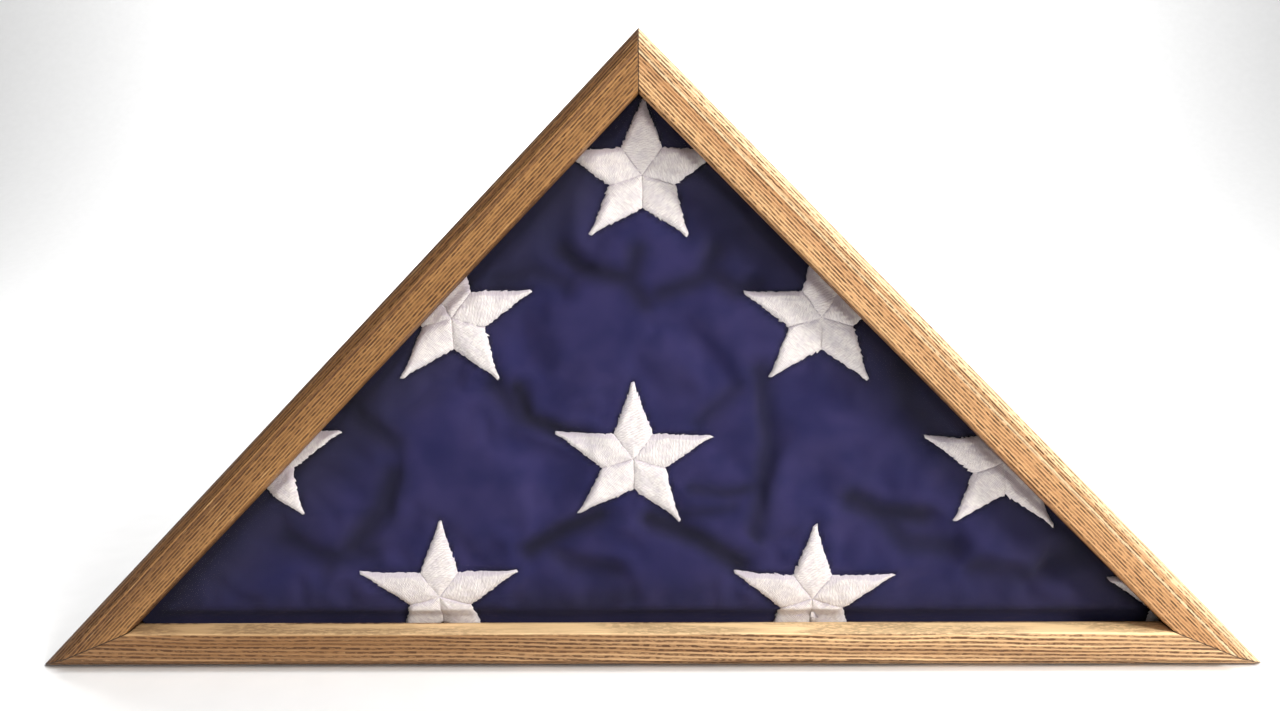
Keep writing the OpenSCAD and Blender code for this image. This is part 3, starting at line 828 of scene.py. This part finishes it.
# %% Flag cloth
def flag_cloth():
    cloth = Finish("navy_cotton")
    where = cloth.place()
    x, y, z = cloth.split(where)
    warp = (x * 9000 + cloth.noise(where, 160, 2) * 5).math("SINE")
    weft = (z * 9000 + cloth.noise(where, 190, 2) * 5).math("SINE")
    weave = warp * weft
    mottle = cloth.noise(where, 46, 4, 0.6)
    lint = cloth.noise(cloth.place((900, 900, 260), 30), 1, 2).step(0.62, 0.8)
    sewn = cloth.node("ShaderNodeAttribute", {"attribute_name": "sewn"}, None, 2)
    shade = cloth.node("ShaderNodeAttribute", {"attribute_name": "shade"}, None, 2)
    # painted shade round the rim: the cloth is painted darker near the apex and along the bottom, where the
    # moulding shades it, broken up by the dye's mottle
    high = z + x.math("ABSOLUTE")
    near_apex = high.step(apex_height - 95 * mm, apex_height - 36 * mm)
    rim = near_apex.math("MAXIMUM", z.step(58 * mm, 16 * mm) * 0.7)
    colour = cloth.mix(mottle.step(0.3, 0.72), rgb(35, 34, 74), rgb(50, 46, 87))
    colour = cloth.mix(rim * 0.7 + mottle * 0.2 - 0.1, colour, rgb(38, 37, 50))
    # painted shade in the creases and along the edge of the tucked-in end
    colour = cloth.mix(shade * 0.85, colour, rgb(25, 24, 33))
    colour = cloth.mix(weave * 0.12 + 0.06, colour, rgb(30, 28, 58))
    colour = cloth.mix(lint * 0.1, colour, rgb(90, 80, 124))
    # dark thread line round each star, partly painted shadow at the star's edge
    colour = cloth.mix(sewn * 0.85, colour, rgb(20, 18, 28))
    return cloth.surface(
        base_color=colour,
        roughness=weave * 0.05 + 0.9,
        normal=cloth.bump(weave * 0.5 + mottle, 0.05 * mm, 0.6),
        specular_ior_level=0.1,
        sheen_weight=0.05,
        sheen_roughness=0.5,
    )


bundle.data.materials.clear()
bundle.data.materials.append(flag_cloth())
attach(bundle, "case")
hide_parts("folded_flag")

# %% [markdown]
# ## Sewn stars
# Each star is five kites of satin stitch that meet in the middle. A kite runs from the star's
# centre out to one point, and swells between its edges where the thread is laid over padding.
# A kite is a grid of points squeezed to four corners, laid on the cloth by looking for the
# cloth behind each point, and the whole star is closed with a skirt that dips into the cloth.

# %% Star shape
cloth_tree = BVHTree.FromObject(bundle, bpy.context.evaluated_depsgraph_get())
kite_steps = 28
fray = 2.2 * mm
rim_sink = 0.15 * mm
tip_knot = 4.5 * mm
skirt_depth = 1.2 * mm
no_cloth = 9


def kite_height(s, t, place, arm):
    """How far the thread stands off the cloth: round at the rim, low along the kite's own edges."""
    rim = max(0, min(1 - s, 1 - t))
    crease = min(s, t)
    edge = min(1, rim / 0.14) ** 0.5
    valley = 0.35 + 0.65 * min(1, crease / 0.2) ** 0.7
    lumps = noise.noise(Vector((place.x * 140, place.y * 140, arm))) * 0.4
    lumps += noise.noise(Vector((place.x * 520, place.y * 520, arm + 9))) * 0.16
    return star_height * edge * (valley + lumps)


def lay_kite(shape, stitch, arm, middle, outline, side):
    """Adds one kite of a star, as a grid laid on the cloth."""
    tip, after, before = outline[arm * 2], outline[arm * 2 + 1], outline[arm * 2 - 1]
    outward = (tip - middle).normalized()
    sideways = Vector((outward.y, -outward.x))
    made = bmesh.ops.create_grid(shape, x_segments=kite_steps, y_segments=kite_steps, size=0.5)["verts"]
    for v in made:
        s, t = v.co.x + 0.5, v.co.y + 0.5
        place = middle * ((1 - s) * (1 - t)) + before * (s * (1 - t)) + after * (t * (1 - s)) + tip * (s * t)
        on_rim = max(s, t) > 0.999
        if on_rim:
            frayed = noise.noise(Vector((place.x * 1500, place.y * 1500, arm))) * fray
            knot = max(0, s * t - 0.8) * tip_knot
            place = place + (place - middle).normalized() * frayed + outward * knot * 0.4
            place = place + sideways * (knot * (1 if t >= s else -1))
        run = place - middle
        for loop in v.link_loops:
            loop[stitch].uv = (run.dot(outward) / mm, run.dot(sideways) / mm + arm * 60)
        hit = cloth_tree.ray_cast(Vector((place.x, side * 0.3, place.y)), Vector((0, -side, 0)))[0]
        ground = hit.y if hit else no_cloth
        sunk = rim_sink if on_rim else 0
        v.co = (place.x, ground + side * (kite_height(s, t, place, arm) - sunk), place.y)


def star_piece(name, centre, outline, side):
    """One star on the front (side -1) or the back (side 1) of the bundle."""
    shape = bmesh.new()
    stitch = shape.loops.layers.uv.new("stitch")
    middle = Vector(centre) * mm
    for arm in range(5):
        lay_kite(shape, stitch, arm, middle, outline, side)
    lost = [v for v in shape.verts if v.co.y > no_cloth / 2]
    bmesh.ops.delete(shape, geom=lost, context="VERTS")
    bmesh.ops.remove_doubles(shape, verts=shape.verts, dist=0.05 * mm)
    border = [e for e in shape.edges if e.is_boundary]
    skirt = bmesh.ops.extrude_edge_only(shape, edges=border)["geom"]
    hem = [v for v in skirt if isinstance(v, bmesh.types.BMVert)]
    bmesh.ops.translate(shape, vec=(0, -side * skirt_depth, 0), verts=hem)
    bmesh.ops.holes_fill(shape, edges=[e for e in shape.edges if e.is_boundary])
    bmesh.ops.recalc_face_normals(shape, faces=shape.faces)
    for face in shape.faces:
        face.smooth = True
    star = new_object(name, shape)
    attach(star, "case")
    return star


# %% [markdown]
# ## Satin thread
# The thread lies in bundles across each kite. Bundles catch the light differently, and this is
# painted as a sheen, tone that changes in short strokes. The thread that faces up is painted
# cooler and greyer, a painted shade on the upper slopes of each star.

# %% Star thread
def star_thread():
    thread = Finish("white_satin_stitch")
    uv = thread.node("ShaderNodeUVMap", {"uv_map": "stitch"})
    along, across = thread.split(uv)[:2]
    drift = thread.noise(uv, 0.25, 2)
    row = (along * 8 + across * 2.2 + drift * 8).math("SINE")
    stretched = thread.node("ShaderNodeMapping", None, {"Vector": uv, "Scale": (1.7, 0.28, 1)})
    strokes = thread.noise(stretched, 1, 3, 0.6)
    clumps = thread.noise(uv, 0.16, 3)
    # painted shade: thread that faces up is painted greyer and cooler
    painted_upper_shade = thread.split(thread.facing())[2].step(0.02, 0.5)
    # painted sheen: the tone changes in short strokes as thread bundles catch the light
    colour = thread.mix(strokes.step(0.3, 0.68), rgb(222, 212, 212), rgb(252, 246, 241))
    colour = thread.mix(clumps.step(0.42, 0.66) * 0.3, colour, rgb(206, 196, 206))
    colour = thread.mix(painted_upper_shade * 0.55, colour, rgb(186, 172, 190))
    return thread.surface(
        base_color=colour,
        roughness=strokes * 0.2 + 0.45,
        normal=thread.bump(row * 0.25 + strokes, 0.4 * mm),
        sheen_weight=0.2,
    )


white_thread = star_thread()
faces = [(-1, "front", front_stars, front_outlines), (1, "back", back_stars, back_outlines)]
for side, label, stars, outlines in faces:
    for number, (star, outline) in enumerate(zip(stars, outlines)):
        sewn_on = star_piece(f"star_{label}_{number}", star[0], outline, side)
        sewn_on.data.materials.append(white_thread)
print(len(front_stars) + len(back_stars), "stars sewn on")
